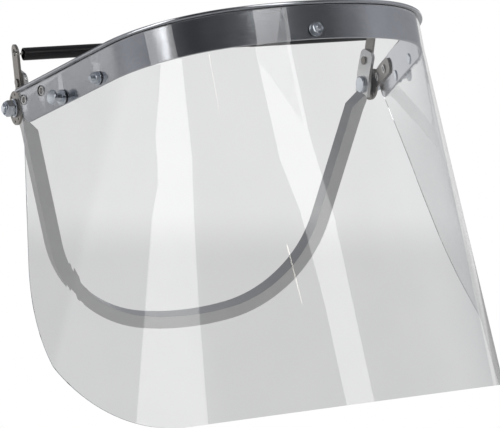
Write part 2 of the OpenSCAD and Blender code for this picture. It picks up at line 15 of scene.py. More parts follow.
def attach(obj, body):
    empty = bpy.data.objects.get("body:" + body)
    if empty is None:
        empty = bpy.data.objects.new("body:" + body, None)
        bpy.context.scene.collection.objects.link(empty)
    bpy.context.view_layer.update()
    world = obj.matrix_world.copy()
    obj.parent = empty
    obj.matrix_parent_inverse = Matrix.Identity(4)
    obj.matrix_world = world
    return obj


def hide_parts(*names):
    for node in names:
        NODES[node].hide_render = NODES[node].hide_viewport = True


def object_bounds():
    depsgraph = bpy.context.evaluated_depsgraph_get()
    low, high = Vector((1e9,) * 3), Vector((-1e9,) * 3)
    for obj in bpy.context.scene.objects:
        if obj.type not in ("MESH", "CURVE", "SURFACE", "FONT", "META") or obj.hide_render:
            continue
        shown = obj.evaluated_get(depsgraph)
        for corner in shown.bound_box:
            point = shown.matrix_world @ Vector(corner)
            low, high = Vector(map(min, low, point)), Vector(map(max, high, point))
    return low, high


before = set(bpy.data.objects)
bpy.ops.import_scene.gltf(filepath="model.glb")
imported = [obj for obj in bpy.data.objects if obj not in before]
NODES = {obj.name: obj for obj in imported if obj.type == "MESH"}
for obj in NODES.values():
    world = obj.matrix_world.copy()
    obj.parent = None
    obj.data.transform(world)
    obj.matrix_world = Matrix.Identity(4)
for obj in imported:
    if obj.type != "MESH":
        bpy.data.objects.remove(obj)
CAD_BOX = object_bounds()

MM = 0.001
TURN = {"visor": math.radians(-24), "bracket": math.radians(98)}
SHARP = 35
BAND_SHARP = 40

# Carrier band and sheet
BAND_T = 1.3
BAND_TOP = 6.7
BAND_BOTTOM = -12.5
BAND_END_R = 6.0
LIP_OUT = 3.2
LIP_T = 1.5
SHEET_T = 1.0
SHEET_GAP = 0.1
SHEET_DROP = 181.0
SHEET_RAKE = math.tan(math.radians(5))
SHEET_CORNER_R = 94.0
SHEET_CREASE = 0.006

# Fasteners on the band
RIVETS_AT = (3.0, 20.0)
RIVET_Z = 0.3
RIVET_R = 1.9
RIVET_HEAD_R = 2.5
RIVET_BORE_R = 1.4
RIVET_HEAD_T = 0.7
HINGE_T = 1.2
STUD_AT = 38.3
STUD_Z = -8.6
STUD_R = 2.0
STUD_NECK_R = 2.2
STUD_HEAD_R = 3.9
STUD_NECK_END = 6.6
STUD_END = 8.1
SCREW_AT = 71.0
SCREW_Z = -8.0
SCREW_R = 1.5
SCREW_PITCH = 0.5
SCREW_TIP = 6.0
SCREW_WASHER_R = 3.5
SCREW_WASHER_T = 0.5
SCREW_NUT_AF = 5.5
SCREW_NUT_H = 2.4
SHEET_HOLE_R = 2.4
RIVET_WINDOW_R = 2.8
CLEAR = 0.02
CLAMP_X = SHEET_GAP + SHEET_T

# Pivot stack, outward from the middle
PLATE_X = 102.2
WASHER_X = 107.7
NUT_X = 108.7
NUT_H = 5.0
NUT_AF = 8.0
NUT_COLLAR_R = 3.6
BOLT_R = 2.5
BOLT_PITCH = 0.8
BOLT_HEAD_R = 4.75
BOLT_HEAD_T = 1.8
BOLT_TIP = 114.7
WASHER_R = 5.0
WASHER_BORE_R = 2.55
INSERT_R = 3.3
INSERT_DEPTH = 1.7
INSERT_T = 1.4

# Spring and levers
LEVER_DROOP = math.radians(6)
LEVER_REACH = 30.0
SPRING_SAG = 1.2
SLEEVE_R = 3.4
SLEEVE_BORE = 2.8
SLEEVE_HALF = 103.0
COIL_R = 2.6
COIL_HALF = 99.0
WIRE_R = 0.6
COIL_GAP = 1.04
# The hook on the +X side, (x, z) in the upright plane of the lever's hole: out of the bore, up over the
# lever's edge, down its outer face and in through the hole
HOOK = [
    (99.4, 0.6), (101.4, 0.1), (103.5, 0.9), (104.6, 3.2), (106.0, 5.0), (107.3, 5.4), (108.5, 4.6),
    (108.9, 2.6), (108.6, 0.8), (107.2, 0.1), (105.9, -0.3)
]

# Parts kept from the frame: points closer than this are joined
WELD = 0.002


# ---- plans: a U made of a front arc, two corner arcs and two straight arms ----

class Plan:
    """A U seen from above, open to the rear. Points on it are found by their distance from the front."""

    def __init__(self, depth, front_r, front_a, corner_r, arm_a, arm_len):
        self.depth, self.front_r, self.corner_r, self.arm_len = depth, front_r, corner_r, arm_len
        self.front_a = math.radians(front_a)
        self.arm_a = math.radians(arm_a)
        self.front_len = front_r * self.front_a
        self.corner_len = corner_r * (math.pi / 2 - self.front_a - self.arm_a)
        self.half_len = self.front_len + self.corner_len + arm_len
        inset = front_r - corner_r
        centre_y = front_r - depth - inset * math.cos(self.front_a)
        self.corner = Vector((inset * math.sin(self.front_a), centre_y))
        self.along = Vector((math.sin(self.arm_a), math.cos(self.arm_a)))
        out = Vector((math.cos(self.arm_a), -math.sin(self.arm_a)))
        self.end = self.corner + corner_r * out + arm_len * self.along

    def normal_angle(self, t):
        if t <= self.front_len:
            return t / self.front_r
        if t <= self.front_len + self.corner_len:
            return self.front_a + (t - self.front_len) / self.corner_r
        return math.pi / 2 - self.arm_a

    def at_angle(self, a):
        """How far from the front the U has turned by the angle a."""
        if a <= self.front_a:
            return self.front_r * a
        return self.front_len + self.corner_r * (a - self.front_a)

    def point(self, s, off=0.0):
        """The point at distance s along the U, s > 0 on the +X side, moved outward by off."""
        t = abs(s)
        n = self.normal_angle(t)
        out = Vector((math.sin(n), -math.cos(n)))
        over = t - self.front_len - self.corner_len
        if t <= self.front_len:
            p = Vector((0, self.front_r - self.depth)) + self.front_r * out
        elif over <= 0:
            p = self.corner + self.corner_r * out
        else:
            p = self.end + (over - self.arm_len) * self.along
        p = p + off * out
        return Vector((math.copysign(p.x, s), p.y))


BAND = Plan(147, 146, 16, 68, 14.3, 83)
FLARE = Plan(155.5, 167.5, 14.5, 69, 31, 102)


def spread(a, b, n):
    """n + 1 evenly spaced numbers from a to b."""
    return [a + (b - a) * k / n for k in range(n + 1)]


def both_ways(half):
    """Distances on the +X half, without the front itself, mirrored onto the whole U."""
    return [-s for s in reversed(half)] + [0.0] + list(half)


# ---- making pieces ----

def worn_to_rest(body):
    """From a body's level frame in millimetres to the row frame in metres."""
    return Matrix.Rotation(TURN[body], 4, "X") @ Matrix.Scale(MM, 4)


def new_mesh(name, verts, faces, to_rest, uvs=None):
    """A linked object with its faces turned outward."""
    mesh = bpy.data.meshes.new(name)
    mesh.from_pydata([tuple(v) for v in verts], [], faces)
    if uvs:
        layer = mesh.uv_layers.new(name="UVMap")
        for loop in mesh.loops:
            layer.data[loop.index].uv = uvs[loop.vertex_index]
    mesh.transform(to_rest)
    turned_out = bmesh.new()
    turned_out.from_mesh(mesh)
    bmesh.ops.recalc_face_normals(turned_out, faces=turned_out.faces)
    turned_out.to_mesh(mesh)
    turned_out.free()
    obj = bpy.data.objects.new(name, mesh)
    bpy.context.scene.collection.objects.link(obj)
    return obj


def on_arm(s, z):
    """On the left arm, at distance s from its end and height z; local +X points outward."""
    at = Matrix.Translation((BAND.end.x, BAND.end.y, 0))
    return at @ Matrix.Rotation(-BAND.arm_a, 4, "Z") @ Matrix.Translation((0, -s, z))


def on_front(z):
    """At the middle of the band's front; local +X points forward."""
    return Matrix.Translation((0, -BAND.depth, z)) @ Matrix.Rotation(-math.pi / 2, 4, "Z")


MIRROR = Matrix.Scale(-1, 4, (1, 0, 0))
SIDES = {"left": Matrix.Identity(4), "right": MIRROR}


def piece(name, verts, faces, material, body, place=Matrix.Identity(4), uvs=None, sharp=SHARP):
    """A finished mesh piece, smooth except at edges sharper than the given angle."""
    obj = new_mesh(name, verts, faces, worn_to_rest(body) @ place, uvs)
    smooth(obj.data, sharp)
    obj.data.materials.append(material)
    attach(obj, body)
    return obj


def smooth(mesh, sharp):
    mesh.polygons.foreach_set("use_smooth", [True] * len(mesh.polygons))
    mesh.set_sharp_from_angle(angle=math.radians(sharp))


def stand_for(obj, slot, *nodes):
    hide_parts(*nodes)


def cut(obj, cutter, sharp=SHARP):
    """Takes the cutter's shape out of obj, for good."""
    modifier = obj.modifiers.new("cut", "BOOLEAN")
    modifier.operation = "DIFFERENCE"
    modifier.solver = "EXACT"
    modifier.object = cutter
    evaluated = obj.evaluated_get(bpy.context.evaluated_depsgraph_get())
    mesh = bpy.data.meshes.new_from_object(evaluated)
    obj.modifiers.clear()
    obj.data = mesh
    smooth(mesh, sharp)
    bpy.data.objects.remove(cutter)


def lathe(rings, sides, closed):
    """Vertices and faces of a body turned about X. Each ring is (x, r), or a function of the angle that
    gives them. An open profile starts and ends on the axis, where r is 0."""
    verts, faces, rows = [], [], []
    for ring in rings:
        place_of = ring if callable(ring) else (lambda a, ring=ring: ring)
        if not callable(ring) and ring[1] == 0:
            rows.append([len(verts)] * sides)
            verts.append((ring[0], 0, 0))
            continue
        row = []
        for k in range(sides):
            a = 2 * math.pi * k / sides
            x, r = place_of(a)
            row.append(len(verts))
            verts.append((x, r * math.sin(a), r * math.cos(a)))
        rows.append(row)
    pairs = list(zip(rows, rows[1:]))
    if closed:
        pairs.append((rows[-1], rows[0]))
    for low, high in pairs:
        for k in range(sides):
            j = (k + 1) % sides
            face = []
            for v in (low[k], low[j], high[j], high[k]):
                if v not in face:
                    face.append(v)
            faces.append(face)
    return verts, faces


def rounded(points, cells=4):
    """A turned profile whose corners are rounded. Each point is (x, r) or (x, r, radius of rounding)."""
    out = []
    for i, p in enumerate(points):
        if len(p) == 2:
            out.append(tuple(p))
            continue
        here = Vector(p[:2])
        before = (Vector(points[i - 1][:2]) - here).normalized()
        after = (Vector(points[(i + 1) % len(points)][:2]) - here).normalized()
        a = here + before * p[2]
        b = here + after * p[2]
        for k in range(cells + 1):
            t = k / cells
            q = a * (1 - t) ** 2 + here * 2 * t * (1 - t) + b * t ** 2
            out.append((q.x, q.y))
    return out


def thread(r, pitch, x0, x1, chamfer=0.5, steps=6):
    """Rings of a cut thread of outer radius r from x0 to its chamfered end at x1."""
    depth = 0.55 * pitch
    count = int((x1 - x0) / pitch * steps)

    def ring(x):
        def at(a):
            phase = (x / pitch - a / (2 * math.pi)) % 1
            ridge = r - depth * abs(2 * phase - 1)
            return x, min(ridge, r - max(0, chamfer - (x1 - x)) * 0.9)
        return at

    return [ring(x0 + (x1 - x0) * k / count) for k in range(count + 1)]


def hex_ring(x, af, way):
    """A ring on a hexagon's sides; its corners are turned down toward way, as a nut's chamfer does."""
    flat = af / 2

    def at(a):
        rim = flat / math.cos((a + math.pi / 6) % (math.pi / 3) - math.pi / 6)
        return x + way * (rim - 0.97 * flat) * math.tan(math.radians(30)), rim
    return at


# ---- materials ----

class Surface:
    """A material's node tree and the few node patterns that the materials share."""

    def __init__(self, name, roughness, metallic=0.0, **sockets):
        self.material = bpy.data.materials.new(name)
        self.material.use_nodes = True
        self.tree = self.material.node_tree
        self.bsdf = self.tree.nodes["Principled BSDF"]
        self.bsdf.inputs["Roughness"].default_value = roughness
        self.bsdf.inputs["Metallic"].default_value = metallic
        for socket, value in sockets.items():
            self.bsdf.inputs[socket.replace("_", " ")].default_value = value

    def node(self, kind, **values):
        node = self.tree.nodes.new(kind)
        for key, value in values.items():
            setattr(node, key, value)
        return node

    def link(self, a, b):
        self.tree.links.new(a, b)

    def noise(self, scale, stretch=(1, 1, 1), detail=4.0, coordinates="Object"):
        """Noise of so many cells a metre, each stretched along the axes."""
        where = self.node("ShaderNodeTexCoord")
        mapping = self.node("ShaderNodeMapping")
        mapping.inputs["Scale"].default_value = tuple(scale / s for s in stretch)
        noise = self.node("ShaderNodeTexNoise")
        noise.inputs["Scale"].default_value = 1.0
        noise.inputs["Detail"].default_value = detail
        self.link(where.outputs[coordinates], mapping.inputs["Vector"])
        self.link(mapping.outputs["Vector"], noise.inputs["Vector"])
        return noise.outputs["Fac"]

    def ramp(self, value, low, high, start=0.3, stop=0.7):
        """Colour from low to high as value goes from start to stop."""
        ramp = self.node("ShaderNodeValToRGB")
        ramp.color_ramp.elements[0].position = start
        ramp.color_ramp.elements[1].position = stop
        ramp.color_ramp.elements[0].color = (*low, 1)
        ramp.color_ramp.elements[1].color = (*high, 1)
        self.link(value, ramp.inputs["Fac"])
        return ramp.outputs["Color"]

    def range(self, value, low, high, start=0.3, stop=0.7):
        scale = self.node("ShaderNodeMapRange")
        scale.inputs["From Min"].default_value = start
        scale.inputs["From Max"].default_value = stop
        scale.inputs["To Min"].default_value = low
        scale.inputs["To Max"].default_value = high
        self.link(value, scale.inputs["Value"])
        return scale.outputs["Result"]

    def blend(self, value, a, b):
        mix = self.node("ShaderNodeMix", data_type="RGBA")
        self.link(value, mix.inputs["Factor"])
        self.link(a, mix.inputs["A"])
        self.link(b, mix.inputs["B"])
        return mix.outputs["Result"]

    def colour(self, output):
        self.link(output, self.bsdf.inputs["Base Color"])

    def rough(self, output):
        self.link(output, self.bsdf.inputs["Roughness"])

    def bump(self, height, strength, distance):
        bump = self.node("ShaderNodeBump")
        bump.inputs["Strength"].default_value = strength
        bump.inputs["Distance"].default_value = distance
        self.link(height, bump.inputs["Height"])
        self.link(bump.outputs["Normal"], self.bsdf.inputs["Normal"])


def metal(name, dark, light, rough_low, rough_high, grain, stretch, coordinates="Object", bump=0.1):
    """Metal with a drawn or brushed grain and cloudy stains."""
    s = Surface(name, rough_low, 1.0)
    lines = s.noise(grain, stretch, 6.0, coordinates)
    clouds = s.noise(90, detail=3.0)
    s.colour(s.blend(s.range(clouds, 0.2, 0.8), s.ramp(lines, dark, light), s.ramp(clouds, dark, light)))
    s.rough(s.range(lines, rough_low, rough_high))
    s.bump(lines, bump, 0.00005)
    return s.material


def clear_sheet():
    """Clear polycarbonate with a faint uneven tone and slow moulding waves."""
    s = Surface("clear_sheet", 0.0, 0.0, Transmission_Weight=1.0, IOR=1.5)
    s.colour(s.ramp(s.noise(40, detail=2.0), (0.965, 0.970, 0.972), (0.985, 0.988, 0.990)))
    s.bump(s.noise(14, detail=1.0), 0.05, 0.0004)
    return s.material


def rubber():
    """Black vinyl tube with a soft sheen and dusty streaks along it."""
    s = Surface("black_sleeve", 0.32, 0.0, Specular_IOR_Level=0.45)
    dust = s.noise(900, (12, 1, 1), 5.0)
    s.colour(s.ramp(dust, (0.004, 0.004, 0.006), (0.012, 0.012, 0.015)))
    s.rough(s.range(dust, 0.26, 0.45))
    s.bump(s.noise(2500, detail=2.0), 0.12, 0.00004)
    return s.material


def plastic(name, low, high, roughness, grain):
    """Matt moulded or pressed plastic with a fine mottled grain."""
    s = Surface(name, roughness)
    speckle = s.noise(grain, detail=5.0)
    s.colour(s.ramp(speckle, low, high))
    s.rough(s.range(speckle, roughness - 0.1, roughness + 0.1))
    s.bump(speckle, 0.3, 0.00005)
    return s.material


MATERIALS = {
    "clear_sheet": clear_sheet(),
    "black_sleeve": rubber(),
    "band_metal": metal("band_metal", (0.56, 0.57, 0.60), (0.66, 0.67, 0.70), 0.10, 0.20,
                        6000, (60, 1, 1), "UV", 0.12),
    "bow_metal": metal("bow_metal", (0.74, 0.74, 0.74), (0.80, 0.80, 0.79), 0.30, 0.38,
                       700, (6, 6, 1), bump=0.03),
    "lever_steel": metal("lever_steel", (0.30, 0.28, 0.26), (0.42, 0.40, 0.37), 0.30, 0.42,
                         2600, (1, 1, 12), bump=0.2),
    "plate_steel": metal("plate_steel", (0.26, 0.24, 0.22), (0.38, 0.36, 0.34), 0.28, 0.42,
                         2200, (1, 6, 6), bump=0.2),
    "zinc_steel": metal("zinc_steel", (0.62, 0.66, 0.72), (0.78, 0.82, 0.87), 0.14, 0.26,
                        2400, (1, 1, 1), bump=0.15),
    "rivet_metal": metal("rivet_metal", (0.62, 0.61, 0.60), (0.76, 0.75, 0.74), 0.16, 0.28,
                         2400, (1, 1, 1), bump=0.15),
    "spring_wire": metal("spring_wire", (0.46, 0.45, 0.41), (0.62, 0.60, 0.55), 0.18, 0.30,
                         3000, (1, 1, 1), bump=0.15),
    "friction_fibre": plastic("friction_fibre", (0.03, 0.03, 0.03), (0.09, 0.085, 0.08), 0.8, 3500),
    "nylon": plastic("nylon", (0.10, 0.18, 0.34), (0.14, 0.24, 0.42), 0.45, 1500),
}


# ---- clear sheet ----

def rulings():
    """The straight lines of the bent sheet on the +X side, as (s on the band, s on the lower edge).

    The sheet doesn't stretch, so both ends of a line face the same way. Where the lower edge has turned
    as far as its arm, the lines fan out along that arm, and then from its end back along the band.
    """
    turn = math.pi / 2 - FLARE.arm_a
    lines = [(BAND.at_angle(a), FLARE.at_angle(a)) for a in spread(0, turn, 600)]
    on_band, on_edge = lines[-1]
    lines += [(on_band, s) for s in spread(on_edge, FLARE.half_len, 20)[1:]]
    return lines + [(s, FLARE.half_len) for s in spread(on_band, BAND.half_len, 200)[1:]]


class SheetRow:
    """One level cut through the sheet, w of the way down, off from the band's face."""

    def __init__(self, lines, w, off):
        self.points = []
        for on_band, on_edge in lines:
            top = BAND.point(on_band, off)
            low = FLARE.point(on_edge, off)
            low_z = -SHEET_DROP + low.y * SHEET_RAKE
            p = top + w * (low - top)
            self.points.append(Vector((p.x, p.y, BAND_BOTTOM + w * (low_z - BAND_BOTTOM))))
        self.runs = [0.0]
        for p, q in zip(self.points, self.points[1:]):
            self.runs.append(self.runs[-1] + (q.xy - p.xy).length)

    def at(self, c):
        """The point at the share c of the way from the front to the rear end, c < 0 on the -X side."""
        run = min(abs(c), 1) * self.runs[-1]
        i = min(max(bisect.bisect_right(self.runs, run) - 1, 0), len(self.runs) - 2)
        step = self.runs[i + 1] - self.runs[i]
        p = self.points[i].lerp(self.points[i + 1], (run - self.runs[i]) / step if step else 0)
        return Vector((math.copysign(p.x, c), p.y, p.z))


def corner_rise(s, r):
    """How far a rounded lower rear corner of radius r stands above the straight edge at s."""
    rear = BAND.half_len - abs(s)
    return 0 if rear >= r else r - math.sqrt(max(0, r * r - (r - rear) ** 2))


def half_stations(r, straight_cells, corner_cells):
    """Distances from the front to the arm's end, closer together where a corner of radius r starts."""
    half = spread(0, BAND.half_len - r, straight_cells)[1:]
    half += [BAND.half_len - r * (1 - math.sin(math.pi / 2 * k / corner_cells))
             for k in range(1, corner_cells + 1)]
    return half


def fall_share(s):
    """How much of the fall a column makes before it meets the rounded lower corner."""
    return 1 - corner_rise(s, SHEET_CORNER_R) / (SHEET_DROP + BAND_BOTTOM)


def add_turned(verts, faces, place, rings, closed):
    """Adds a turned body at its place to the vertices and faces."""
    more_verts, more_faces = lathe(rings, 48, closed)
    base = len(verts)
    verts += [place @ Vector(p) for p in more_verts]
    faces += [[i + base for i in face] for face in more_faces]


CUT_FROM = -3
CUT_TO = 4


def drill(obj, rivet_r, stud_r, screw_r, sharp=SHARP):
    """Cuts the fasteners' holes through both arms and the front."""
    holes = [(on_arm(s, RIVET_Z), rivet_r) for s in RIVETS_AT]
    holes += [(on_arm(STUD_AT, STUD_Z), stud_r), (on_arm(SCREW_AT, SCREW_Z), screw_r)]
    spots = [(side @ place, r) for side in SIDES.values() for place, r in holes]
    spots.append((on_front(SCREW_Z), screw_r))
    verts, faces = [], []
    for place, r in spots:
        bar = [(CUT_FROM, 0), (CUT_FROM, r), (CUT_TO, r), (CUT_TO, 0)]
        add_turned(verts, faces, place, bar, False)
    cut(obj, new_mesh("holes", verts, faces, worn_to_rest("visor")), sharp)


def sheet_face(stations, levels, off):
    """Points and UVs of one face of the sheet, column by column and downward from its top edge."""
    lines = rulings()
    cuts = [SheetRow(lines, w, off) for w in levels]
    whole = BAND.half_len + off * (math.pi / 2 - BAND.arm_a)
    sheet_top = BAND_TOP - LIP_T - SHEET_GAP
    verts, uvs = [], []
    for s in stations:
        share = math.copysign((abs(s) + off * BAND.normal_angle(abs(s))) / whole, s)
        column = [level.at(share) for level in cuts]
        verts.append((column[0].x, column[0].y, sheet_top))
        uvs.append((s * MM, 0.0))
        for w in levels:
            at = w * fall_share(s)
            i = min(max(bisect.bisect_right(levels, at) - 1, 0), len(levels) - 2)
            between = (at - levels[i]) / (levels[i + 1] - levels[i])
            verts.append(column[i].lerp(column[i + 1], between))
            uvs.append((s * MM, at))
    return verts, uvs


def slab_faces(rows, cols):
    """Faces of a slab between two grids of points, each numbered column by column."""
    n = rows * cols
    faces = []
    for i in range(cols - 1):
        for j in range(rows - 1):
            a, b = i * rows + j, (i + 1) * rows + j
            faces.append((a, b, b + 1, a + 1))
            faces.append((a + n, a + 1 + n, b + 1 + n, b + n))
        for j in (0, rows - 1):
            a, b = i * rows + j, (i + 1) * rows + j
            faces.append((a, a + n, b + n, b))
    for i in (0, cols - 1):
        for j in range(rows - 1):
            a = i * rows + j
            faces.append((a, a + 1, a + 1 + n, a + n))
    return faces


def visor_sheet():
    """The clear sheet with the fasteners' holes in it."""
    stations = both_ways(half_stations(SHEET_CORNER_R, 110, 34))
    levels = [0, SHEET_CREASE] + spread(SHEET_CREASE, 1, 50)[1:]
    inner, inner_uvs = sheet_face(stations, levels, SHEET_GAP)
    outer, outer_uvs = sheet_face(stations, levels, SHEET_GAP + SHEET_T)
    faces = slab_faces(len(levels) + 1, len(stations))
    obj = piece("clear_visor", inner + outer, faces, MATERIALS["clear_sheet"], "visor",
                uvs=inner_uvs + outer_uvs)
    drill(obj, RIVET_WINDOW_R, SHEET_HOLE_R, SHEET_HOLE_R)
    stand_for(obj, "clear_sheet", "visor_sheet")


# ---- carrier band ----

def band_profile(low):
    """Closed section of the band, (distance out from its face, height), with rolled edges."""
    lip_low = BAND_TOP - LIP_T
    return rounded([
        (-BAND_T, low, 0.35), (0, low, 0.35), (0, lip_low, 0.7), (LIP_OUT, lip_low, 0.45),
        (LIP_OUT, BAND_TOP, 0.45), (-BAND_T, BAND_TOP, 1.2)
    ], 5)


def carrier_band():
    """The bent band: its rounded section swept along the U, rising at the rounded rear corners."""
    stations = both_ways(half_stations(BAND_END_R, 130, 16))
    verts, uvs = [], []
    for s in stations:
        profile = band_profile(BAND_BOTTOM + corner_rise(s, BAND_END_R))
        for off, z in profile:
            p = BAND.point(s, off)
            verts.append((p.x, p.y, z))
            uvs.append((s * MM, (z + off) * MM))
    count = len(band_profile(BAND_BOTTOM))
    faces = []
    for i in range(len(stations) - 1):
        for k in range(count):
            j = (k + 1) % count
            a, b = i * count, (i + 1) * count
            faces.append((a + k, a + j, b + j, b + k))
    last = (len(stations) - 1) * count
    faces.append(tuple(range(count)))
    faces.append(tuple(last + k for k in reversed(range(count))))
    obj = piece("bent_band", verts, faces, MATERIALS["band_metal"], "visor", uvs=uvs, sharp=BAND_SHARP)
    drill(obj, RIVET_R + CLEAR, STUD_R, SCREW_R + CLEAR, BAND_SHARP)
    stand_for(obj, "band_metal", "carrier_band")


# ---- fasteners on the band ----

def turned(name, rings, sides, closed, place, slot, body, *nodes):
    verts, faces = lathe(rings, sides, closed)
    stand_for(piece(name, verts, faces, MATERIALS[slot], body, place), slot, *nodes)


def eyelet_rings():
    """A hollow rivet: a tube whose ends are rolled outward."""
    back = -BAND_T - HINGE_T
    end = back - RIVET_HEAD_T
    return rounded([
        (RIVET_HEAD_T, RIVET_BORE_R, 0.3), (RIVET_HEAD_T, RIVET_HEAD_R, 0.3), (0, RIVET_HEAD_R, 0.15),
        (0, RIVET_R), (back, RIVET_R), (back, RIVET_HEAD_R, 0.15), (end, RIVET_HEAD_R, 0.3),
        (end, RIVET_BORE_R, 0.3)
    ])


def hinge_rivets():
    rings = eyelet_rings()
    for side, flip in SIDES.items():
        verts, faces = [], []
        for s in RIVETS_AT:
            add_turned(verts, faces, on_arm(s, RIVET_Z), rings, True)
        obj = piece(f"{side}_eyelets", verts, faces, MATERIALS["rivet_metal"], "visor", flip)
        stand_for(obj, "rivet_metal", f"{side}_hinge_rivets")


def studs():
    """Studs with a riveted end inside the band, a collar on the sheet, a neck and a round head."""
    rings = rounded([
        (-BAND_T - 0.6, 0), (-BAND_T - 0.6, 3.0, 0.3), (-BAND_T, 3.0, 0.1), (-BAND_T, STUD_R),
        (CLAMP_X, STUD_R), (CLAMP_X, 4.0, 0.2), (CLAMP_X + 1, 4.0, 0.3), (CLAMP_X + 1, STUD_NECK_R, 0.3),
        (STUD_NECK_END, STUD_NECK_R, 0.3), (STUD_NECK_END, STUD_HEAD_R, 0.35),
        (STUD_END, STUD_HEAD_R, 0.6), (STUD_END, 0)
    ])
    for side, flip in SIDES.items():
        turned(f"{side}_button_stud", rings, 64, False, flip @ on_arm(STUD_AT, STUD_Z),
               "zinc_steel", "visor", f"{side}_stud")


def visor_screw(name, place):
    """A screw put in from inside the band, with its low domed head, washer, nut and threaded end."""
    head = rounded([
        (-BAND_T - 0.25, 0), (-BAND_T - 0.6, 2.2, 0.3), (-BAND_T - 0.3, 3.0, 0.2), (-BAND_T, 3.0),
        (-BAND_T, SCREW_R)
    ])
    rings = head + thread(SCREW_R, SCREW_PITCH, CLAMP_X, SCREW_TIP, 0.4) + [(SCREW_TIP, 0)]
    turned(f"{name}_machine_screw", rings, 32, False, place, "zinc_steel", "visor", f"{name}_visor_screw")
    base = CLAMP_X + SCREW_WASHER_T
    bore = SCREW_R + CLEAR
    washer = rounded([
        (CLAMP_X, bore), (CLAMP_X, SCREW_WASHER_R, 0.12), (base, SCREW_WASHER_R, 0.2), (base, bore)
    ])
    turned(f"{name}_flat_washer", washer, 64, True, place, "zinc_steel", "visor", f"{name}_visor_washer")
    top = base + SCREW_NUT_H
    face_r = 0.93 * SCREW_NUT_AF / 2
    nut = [
        (base, SCREW_R), (base, face_r), hex_ring(base, SCREW_NUT_AF, 1), hex_ring(top, SCREW_NUT_AF, -1),
        (top, face_r), (top, SCREW_R + 0.35), (top - 0.35, SCREW_R)
    ]
    turned(f"{name}_hex_nut", nut, 72, True, place, "zinc_steel", "visor", f"{name}_visor_nut")


def visor_screws():
    for side, flip in SIDES.items():
        visor_screw(side, flip @ on_arm(SCREW_AT, SCREW_Z))
    visor_screw("front", on_front(SCREW_Z))


# ---- pivots ----

def pivot_bolt():
    head = PLATE_X - BOLT_HEAD_T
    threaded = NUT_X + 1
    rings = rounded([(head, 0), (head, BOLT_HEAD_R, 0.6), (PLATE_X, BOLT_HEAD_R, 0.15), (PLATE_X, BOLT_R)])
    rings.append((threaded, BOLT_R))
    return rings + thread(BOLT_R, BOLT_PITCH, threaded, BOLT_TIP) + [(BOLT_TIP, 0)]


def pivot_nut(seat):
    """A locking nut: a hexagon and a round collar that holds the nylon ring from seat outward."""
    collar = NUT_X + NUT_H
    hex_top = collar - 1
    rings = [(NUT_X, BOLT_R), (NUT_X, 3.75), hex_ring(NUT_X, NUT_AF, 1), hex_ring(hex_top, NUT_AF, -1)]
    return rings + rounded([
        (hex_top, 3.78), (hex_top + 0.25, 3.7), (collar, NUT_COLLAR_R, 0.5), (collar, INSERT_R, 0.08),
        (seat, INSERT_R), (seat, BOLT_R)
    ])


def pivots():
    """Bolt, washer, locking nut and nylon ring on each side."""
    seat = NUT_X + NUT_H - INSERT_DEPTH
    end = seat + INSERT_T
    bolt = pivot_bolt()
    nut = pivot_nut(seat)
    washer = rounded([
        (WASHER_X, WASHER_BORE_R), (WASHER_X, WASHER_R, 0.15), (WASHER_X + 1, WASHER_R, 0.3),
        (WASHER_X + 1, WASHER_BORE_R, 0.1)
    ])
    ring = rounded([(seat, BOLT_R), (seat, INSERT_R), (end, INSERT_R), (end, BOLT_R, 0.3)])
    for side, flip in SIDES.items():
        turned(f"{side}_bolt", bolt, 48, False, flip, "zinc_steel", "bracket", f"{side}_pivot_bolt")
        turned(f"{side}_locknut", nut, 72, True, flip, "zinc_steel", "bracket", f"{side}_pivot_nut")
        turned(f"{side}_plain_washer", washer, 64, True, flip, "zinc_steel", "bracket",
               f"{side}_pivot_washer")
        turned(f"{side}_nylon_ring", ring, 48, True, flip, "nylon", "bracket", f"{side}_nut_insert")


# ---- spring and sleeve ----

def spring_place():
    """The spring's own place; the lever holes are SPRING_SAG above its middle."""
    return Matrix.Rotation(-LEVER_DROOP, 4, "X") @ Matrix.Translation((0, LEVER_REACH - SPRING_SAG, 0))


def tube(path, r, sides):
    """Vertices and faces of a round wire along a path."""
    verts, faces = [], []
    up = Vector((0, 1, 0))
    for i, p in enumerate(path):
        ahead = path[min(i + 1, len(path) - 1)] - path[max(i - 1, 0)]
        ahead.normalize()
        side = ahead.cross(up)
        if side.length < 0.1:
            side = ahead.cross(Vector((0, 0, 1)))
        side.normalize()
        up = side.cross(ahead).normalized()
        for k in range(sides):
            a = 2 * math.pi * k / sides
            verts.append(p + r * (math.cos(a) * side + math.sin(a) * up))
    for i in range(len(path) - 1):
        for k in range(sides):
            j = (k + 1) % sides
            a, b = i * sides, (i + 1) * sides
            faces.append((a + k, a + j, b + j, b + k))
    faces.append(tuple(reversed(range(sides))))
    last = (len(path) - 1) * sides
    faces.append(tuple(last + k for k in range(sides)))
    return verts, faces


def curve_through(points, cells):
    """A smooth curve through the points."""
    out = []
    for i in range(len(points) - 1):
        p0, p1 = points[max(i - 1, 0)], points[i]
        p2, p3 = points[i + 1], points[min(i + 2, len(points) - 1)]
        for k in range(cells):
            t = k / cells
            out.append(0.5 * (2 * p1 + (p2 - p0) * t + (2 * p0 - 5 * p1 + 4 * p2 - p3) * t ** 2
                              + (3 * p1 - p0 - 3 * p2 + p3) * t ** 3))
    return out + [points[-1]]


def hook_points():
    """The way from the coil's end to the hook's end."""
    points = [Vector((x, SPRING_SAG, z)) for x, z in HOOK]
    return [Vector((COIL_HALF - 0.6, 0.6, 1.9))] + points


